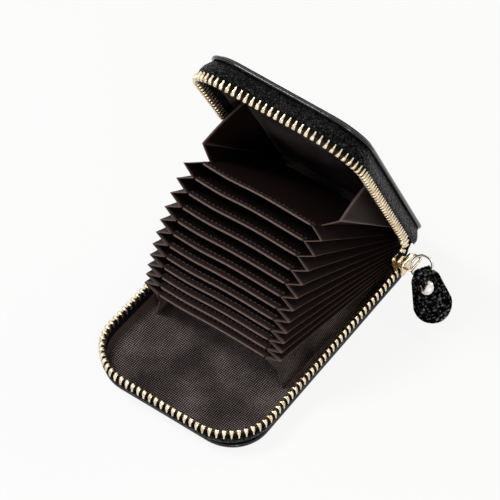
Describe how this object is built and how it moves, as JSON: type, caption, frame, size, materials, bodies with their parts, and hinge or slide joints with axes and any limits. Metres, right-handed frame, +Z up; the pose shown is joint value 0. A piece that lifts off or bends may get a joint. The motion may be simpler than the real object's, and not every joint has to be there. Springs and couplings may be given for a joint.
{
  "type": "zip card holder",
  "caption": "Zip-around leather card holder that opens like a book, with a fan of fabric dividers joined by pleated sides, a metal-toothed zip and a riveted leather pull tab.",
  "frame": {"origin": "middle of the lower cover's outer face, where it lies on the table", "axes": "+X along the spine towards the slider's side, +Y from the free edge to the spine, +Z up"},
  "size_m": [0.0937, 0.116, 0.1092],
  "materials": {
    "leather": "fine pebbled grain",
    "board": "matt",
    "lining": "plain woven",
    "divider": "woven with hemmed edge",
    "tape": "woven tape",
    "brass": "pale polished",
    "steel": "polished"
  },
  "bodies": {
    "lower_cover": {"lower_panel": "leather", "lower_board": "board", "lower_lining": "lining", "lower_wall": "leather", "lower_piping": "leather", "lower_zip_tape": "tape", "lower_zip_teeth": "brass", "lower_zip_stop": "brass", "gusset_left": "divider", "gusset_right": "divider", "leaf_binding": "lining", "spine_leather": "leather", "spine_lining": "lining", "upper_zip_end": "brass"},
    "upper_cover": {"upper_panel": "leather", "upper_board": "board", "upper_lining": "lining", "upper_wall": "leather", "upper_piping": "leather", "upper_zip_tape": "tape", "upper_zip_teeth": "brass", "upper_zip_stop": "brass"},
    "leaf_01": {"leaf_01": "divider"},
    "leaf_02": {"leaf_02": "divider"},
    "leaf_03": {"leaf_03": "divider"},
    "leaf_04": {"leaf_04": "divider"},
    "leaf_05": {"leaf_05": "divider"},
    "leaf_06": {"leaf_06": "divider"},
    "leaf_07": {"leaf_07": "divider"},
    "leaf_08": {"leaf_08": "divider"},
    "leaf_09": {"leaf_09": "divider"},
    "leaf_10": {"leaf_10": "divider"},
    "leaf_11": {"leaf_11": "divider"},
    "leaf_12": {"leaf_12": "divider"},
    "slider": {"slider_body": "brass", "slider_bridge": "brass"},
    "pull_ring": {"pull_ring": "steel"},
    "pull_strap": {"pull_strap": "leather", "rivet_cap": "steel", "rivet_back": "steel"}
  },
  "joints": [
    {"name": "cover_hinge", "type": "hinge", "parent": "lower_cover", "child": "upper_cover", "pos_m": [0, 0.049, 0.0125], "axis": [-1, 0, 0], "range_deg": [-66, 15], "deforming": ["gusset_left", "gusset_right", "leaf_binding", "spine_leather", "spine_lining", "upper_zip_end"]},
    {"name": "leaf_01_turn", "type": "hinge", "parent": "lower_cover", "child": "leaf_01", "pos_m": [0, 0.049, 0.0125], "axis": [-1, 0, 0], "range_deg": [-14.2, 3.38]},
    {"name": "leaf_02_turn", "type": "hinge", "parent": "leaf_01", "child": "leaf_02", "pos_m": [0, 0.049, 0.0125], "axis": [-1, 0, 0], "range_deg": [-2.2, 0.65]},
    {"name": "leaf_03_turn", "type": "hinge", "parent": "leaf_02", "child": "leaf_03", "pos_m": [0, 0.049, 0.0125], "axis": [-1, 0, 0], "range_deg": [-2.36, 0.69]},
    {"name": "leaf_04_turn", "type": "hinge", "parent": "leaf_03", "child": "leaf_04", "pos_m": [0, 0.049, 0.0125], "axis": [-1, 0, 0], "range_deg": [-2.52, 0.73]},
    {"name": "leaf_05_turn", "type": "hinge", "parent": "leaf_04", "child": "leaf_05", "pos_m": [0, 0.049, 0.0125], "axis": [-1, 0, 0], "range_deg": [-2.68, 0.76]},
    {"name": "leaf_06_turn", "type": "hinge", "parent": "leaf_05", "child": "leaf_06", "pos_m": [0, 0.049, 0.0125], "axis": [-1, 0, 0], "range_deg": [-2.84, 0.8]},
    {"name": "leaf_07_turn", "type": "hinge", "parent": "leaf_06", "child": "leaf_07", "pos_m": [0, 0.049, 0.0125], "axis": [-1, 0, 0], "range_deg": [-3, 0.84]},
    {"name": "leaf_08_turn", "type": "hinge", "parent": "leaf_07", "child": "leaf_08", "pos_m": [0, 0.049, 0.0125], "axis": [-1, 0, 0], "range_deg": [-3.16, 0.87]},
    {"name": "leaf_09_turn", "type": "hinge", "parent": "leaf_08", "child": "leaf_09", "pos_m": [0, 0.049, 0.0125], "axis": [-1, 0, 0], "range_deg": [-3.32, 0.91]},
    {"name": "leaf_10_turn", "type": "hinge", "parent": "leaf_09", "child": "leaf_10", "pos_m": [0, 0.049, 0.0125], "axis": [-1, 0, 0], "range_deg": [-3.48, 0.95]},
    {"name": "leaf_11_turn", "type": "hinge", "parent": "leaf_10", "child": "leaf_11", "pos_m": [0, 0.049, 0.0125], "axis": [-1, 0, 0], "range_deg": [-3.64, 0.98]},
    {"name": "leaf_12_turn", "type": "hinge", "parent": "leaf_11", "child": "leaf_12", "pos_m": [0, 0.049, 0.0125], "axis": [-1, 0, 0], "range_deg": [-3.8, 1.02]},
    {"name": "zip_slide", "type": "slide", "parent": "lower_cover", "child": "slider", "axis": [0.0177, -0.9998, 0], "range_m": [0, 0.075]},
    {"name": "ring_swing", "type": "hinge", "parent": "slider", "child": "pull_ring", "pos_m": [0.0387, 0.046, 0.0145], "axis": [0, 1, 0], "range_deg": [-35, 20]},
    {"name": "strap_swing", "type": "hinge", "parent": "pull_ring", "child": "pull_strap", "pos_m": [0.0431, 0.04473, 0.01343], "axis": [0.6947, 0.551, 0.4624], "range_deg": [-12, 12]}
  ],
  "couplings": [
    {"joint": "leaf_01_turn", "follows": "cover_hinge", "ratio": 0.21212},
    {"joint": "leaf_02_turn", "follows": "cover_hinge", "ratio": 0.030303},
    {"joint": "leaf_03_turn", "follows": "cover_hinge", "ratio": 0.032727},
    {"joint": "leaf_04_turn", "follows": "cover_hinge", "ratio": 0.035152},
    {"joint": "leaf_05_turn", "follows": "cover_hinge", "ratio": 0.037576},
    {"joint": "leaf_06_turn", "follows": "cover_hinge", "ratio": 0.04},
    {"joint": "leaf_07_turn", "follows": "cover_hinge", "ratio": 0.042424},
    {"joint": "leaf_08_turn", "follows": "cover_hinge", "ratio": 0.044848},
    {"joint": "leaf_09_turn", "follows": "cover_hinge", "ratio": 0.047273},
    {"joint": "leaf_10_turn", "follows": "cover_hinge", "ratio": 0.049697},
    {"joint": "leaf_11_turn", "follows": "cover_hinge", "ratio": 0.052121},
    {"joint": "leaf_12_turn", "follows": "cover_hinge", "ratio": 0.054545}
  ]
}
